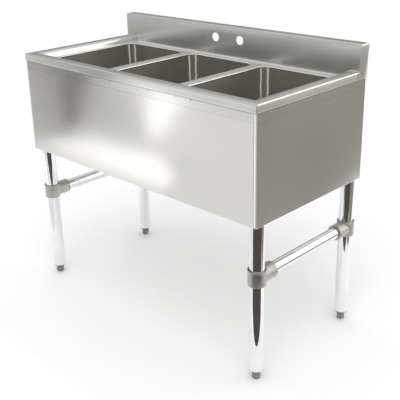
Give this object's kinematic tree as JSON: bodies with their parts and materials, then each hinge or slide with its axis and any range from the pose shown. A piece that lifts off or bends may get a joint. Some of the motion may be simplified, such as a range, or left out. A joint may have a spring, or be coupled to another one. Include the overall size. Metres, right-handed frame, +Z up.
{
  "type": "three compartment sink",
  "caption": "Free-standing three compartment sink with raised rim, backsplash, deep apron, lift-out drain baskets, tube legs, end crossbars and screw feet.",
  "frame": {"origin": "on the floor, under the middle of the sink's box", "axes": "+X to the right of a person standing at the front, +Y from the front to the wall, +Z up"},
  "size_m": [0.965, 0.476, 0.863],
  "materials": {
    "brushed_steel": "brushed along its length, number 4 grain",
    "apron_steel": "brushed sheet, number 4 grain",
    "bowl_steel": "satin",
    "chrome_tube": "bright plated tube",
    "cast_metal": "satin grey casting",
    "galvanised_steel": "dull galvanised",
    "screw_steel": "black oxide",
    "drain_steel": "polished",
    "drain_rubber": "matt"
  },
  "bodies": {
    "sink_frame": {"top_deck": "brushed_steel", "backsplash": "brushed_steel", "front_apron": "apron_steel", "splash_end_cap_left": "brushed_steel", "side_apron_left": "apron_steel", "leg_channel_left": "galvanised_steel", "crossbar_left": "chrome_tube", "splash_end_cap_right": "brushed_steel", "side_apron_right": "apron_steel", "leg_channel_right": "galvanised_steel", "crossbar_right": "chrome_tube", "bowl_left": "bowl_steel", "drain_body_left": "drain_steel", "drain_washer_left": "drain_rubber", "drain_locknut_left": "cast_metal", "bowl_middle": "bowl_steel", "drain_body_middle": "drain_steel", "drain_washer_middle": "drain_rubber", "drain_locknut_middle": "cast_metal", "bowl_right": "bowl_steel", "drain_body_right": "drain_steel", "drain_washer_right": "drain_rubber", "drain_locknut_right": "cast_metal", "leg_front_left": "chrome_tube", "leg_socket_front_left": "galvanised_steel", "socket_screw_front_left": "screw_steel", "tee_front_left": "cast_metal", "tee_leg_screw_front_left": "screw_steel", "tee_bar_screw_front_left": "screw_steel", "leg_plug_front_left": "cast_metal", "leg_front_right": "chrome_tube", "leg_socket_front_right": "galvanised_steel", "socket_screw_front_right": "screw_steel", "tee_front_right": "cast_metal", "tee_leg_screw_front_right": "screw_steel", "tee_bar_screw_front_right": "screw_steel", "leg_plug_front_right": "cast_metal", "leg_back_left": "chrome_tube", "leg_socket_back_left": "galvanised_steel", "socket_screw_back_left": "screw_steel", "tee_back_left": "cast_metal", "tee_leg_screw_back_left": "screw_steel", "tee_bar_screw_back_left": "screw_steel", "leg_plug_back_left": "cast_metal", "leg_back_right": "chrome_tube", "leg_socket_back_right": "galvanised_steel", "socket_screw_back_right": "screw_steel", "tee_back_right": "cast_metal", "tee_leg_screw_back_right": "screw_steel", "tee_bar_screw_back_right": "screw_steel", "leg_plug_back_right": "cast_metal"},
    "screw_foot_front_left": {"foot_front_left": "cast_metal"},
    "screw_foot_front_right": {"foot_front_right": "cast_metal"},
    "screw_foot_back_left": {"foot_back_left": "cast_metal"},
    "screw_foot_back_right": {"foot_back_right": "cast_metal"},
    "basket_left": {"strainer_basket_left": "drain_steel"},
    "basket_middle": {"strainer_basket_middle": "drain_steel"},
    "basket_right": {"strainer_basket_right": "drain_steel"}
  },
  "joints": [
    {"name": "foot_height_front_left", "type": "slide", "parent": "sink_frame", "child": "screw_foot_front_left", "axis": [0, 0, -1], "range_m": [0, 0.025]},
    {"name": "foot_height_front_right", "type": "slide", "parent": "sink_frame", "child": "screw_foot_front_right", "axis": [0, 0, -1], "range_m": [0, 0.025]},
    {"name": "foot_height_back_left", "type": "slide", "parent": "sink_frame", "child": "screw_foot_back_left", "axis": [0, 0, -1], "range_m": [0, 0.025]},
    {"name": "foot_height_back_right", "type": "slide", "parent": "sink_frame", "child": "screw_foot_back_right", "axis": [0, 0, -1], "range_m": [0, 0.025]},
    {"name": "basket_lift_left", "type": "slide", "parent": "sink_frame", "child": "basket_left", "axis": [0, 0, 1], "range_m": [0, 0.33]},
    {"name": "basket_lift_middle", "type": "slide", "parent": "sink_frame", "child": "basket_middle", "axis": [0, 0, 1], "range_m": [0, 0.33]},
    {"name": "basket_lift_right", "type": "slide", "parent": "sink_frame", "child": "basket_right", "axis": [0, 0, 1], "range_m": [0, 0.33]}
  ]
}
